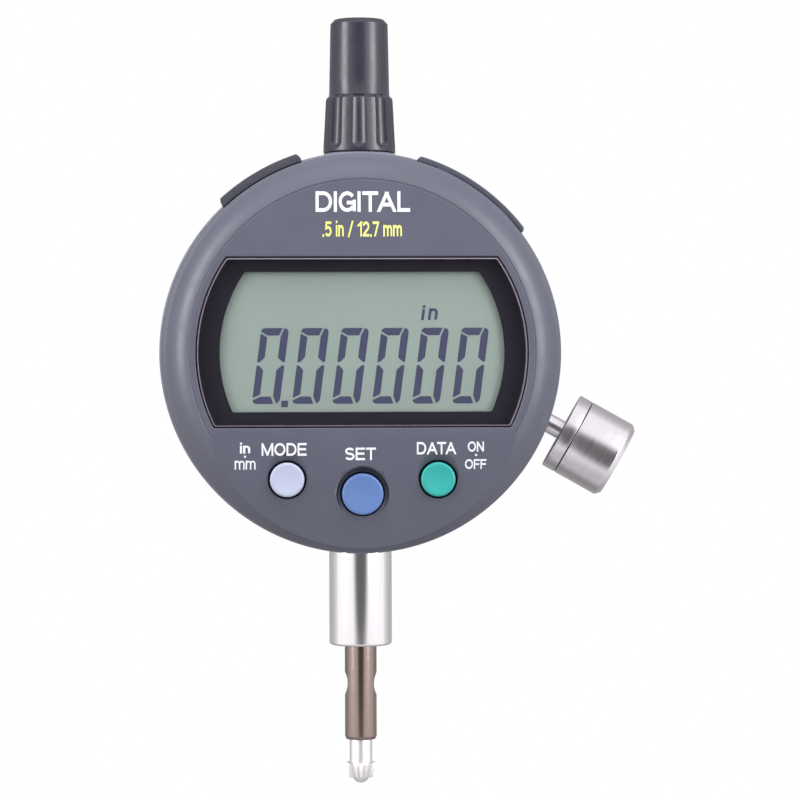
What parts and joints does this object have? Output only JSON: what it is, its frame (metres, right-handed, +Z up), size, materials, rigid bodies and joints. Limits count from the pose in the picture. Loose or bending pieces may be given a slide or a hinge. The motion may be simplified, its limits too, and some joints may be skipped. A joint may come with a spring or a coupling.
{
  "type": "digital dial indicator",
  "caption": "Round digital dial indicator: a plunger spindle in a cylindrical stem, a display unit that turns on its case, push buttons and a side lifting lever.",
  "frame": {"origin": "on the spindle's axis, halfway along the stem's clamping length", "axes": "+Z up along the spindle towards the cap, +Y to the back, the display faces -Y, +X to the lever's side"},
  "size_m": [0.0721, 0.039, 0.1162],
  "materials": {
    "body_plastic": "moulded, dark grey with a violet cast",
    "case_paint": "matt dark grey paint",
    "cap_plastic": "semi-gloss, near black",
    "black_plastic": "matt black",
    "lens": "clear acrylic",
    "lcd_glass": "grey-green liquid crystal cell",
    "board": "green solder mask",
    "dark_rubber": "finely textured",
    "pale_button": "pale lavender white",
    "blue_button": "blue",
    "green_button": "blue-green",
    "bright_steel": "ground and polished",
    "steel": "turned",
    "spindle_steel": "ground, slightly brown",
    "brass": "plain or plated brass",
    "white_print": "white printed lettering",
    "yellow_print": "pale yellow printed lettering"
  },
  "bodies": {
    "case": {"case_body": "case_paint", "back_plate": "case_paint", "back_gasket": "dark_rubber", "stem": "bright_steel", "stem_bush": "brass", "upper_bush": "steel", "display_retainer": "steel", "friction_ring": "dark_rubber", "flex_cable": "board", "reading_head": "board", "guide_rail": "steel", "rest_bumper": "dark_rubber", "spring_post": "steel", "lever_pivot_pin": "steel", "back_screw_1": "steel", "back_screw_2": "steel", "back_screw_3": "steel", "back_screw_4": "steel"},
    "display_unit": {"front_cover": "body_plastic", "window_lens": "lens", "window_mask": "black_plastic", "lcd_front_glass": "lcd_glass", "lcd_rear_glass": "lcd_glass", "lcd_holder": "black_plastic", "contact_strip_lower": "dark_rubber", "contact_strip_upper": "dark_rubber", "main_board": "board", "processor_chip": "black_plastic", "display_base": "body_plastic", "mode_switch": "black_plastic", "set_switch": "black_plastic", "data_switch": "black_plastic", "base_screw_1": "steel", "base_screw_2": "steel", "base_screw_3": "steel", "cell_contact_front": "brass", "cell_contact_side": "brass", "data_socket": "black_plastic", "socket_pins": "brass"},
    "mode_key": {"mode_button": "pale_button"},
    "set_key": {"set_button": "blue_button"},
    "data_key": {"data_button": "green_button"},
    "battery_drawer": {"battery_tray": "body_plastic", "battery_cell": "bright_steel"},
    "port_cover": {"port_cap": "dark_rubber"},
    "spindle_unit": {"spindle": "spindle_steel", "contact_point": "bright_steel", "contact_ball": "bright_steel", "scale_holder": "steel", "linear_scale": "board", "lift_pin": "steel", "stop_collar": "steel", "return_spring": "steel"},
    "lever": {"lever_arm": "steel", "lever_knob": "steel", "lever_knob_ring": "steel"},
    "cap": {"spindle_cap": "cap_plastic"}
  },
  "joints": [
    {"name": "spindle_slide", "type": "slide", "parent": "case", "child": "spindle_unit", "axis": [0, 0, 1], "range_m": [0, 0.0127], "stiffness_N_per_m": 40, "springref_m": -0.025, "deforming": ["return_spring"]},
    {"name": "lever_tilt", "type": "hinge", "parent": "case", "child": "lever", "pos_m": [0.02499, 0, 0.02867], "axis": [0, 1, 0], "range_deg": [0, 17.54]},
    {"name": "display_turn", "type": "hinge", "parent": "case", "child": "display_unit", "pos_m": [0, -0.01, 0.0373], "axis": [0, 1, 0], "range_deg": [-165, 165]},
    {"name": "mode_press", "type": "slide", "parent": "display_unit", "child": "mode_key", "axis": [0, 1, 0], "range_m": [0, 0.0005], "stiffness_N_per_m": 800, "springref_m": -0.0005},
    {"name": "set_press", "type": "slide", "parent": "display_unit", "child": "set_key", "axis": [0, 1, 0], "range_m": [0, 0.0005], "stiffness_N_per_m": 800, "springref_m": -0.0005},
    {"name": "data_press", "type": "slide", "parent": "display_unit", "child": "data_key", "axis": [0, 1, 0], "range_m": [0, 0.0005], "stiffness_N_per_m": 800, "springref_m": -0.0005},
    {"name": "tray_slide", "type": "slide", "parent": "display_unit", "child": "battery_drawer", "axis": [0.5693, 0, 0.8221], "range_m": [0, 0.018]},
    {"name": "port_cap_pull", "type": "slide", "parent": "display_unit", "child": "port_cover", "axis": [-0.5045, 0, 0.8634], "range_m": [0, 0.008]},
    {"name": "cap_pull", "type": "slide", "parent": "case", "child": "cap", "axis": [0, 0, 1], "range_m": [0, 0.015]}
  ],
  "couplings": [
    {"joint": "lever_tilt", "follows": "spindle_slide", "rad_per_m": 24.1}
  ]
}
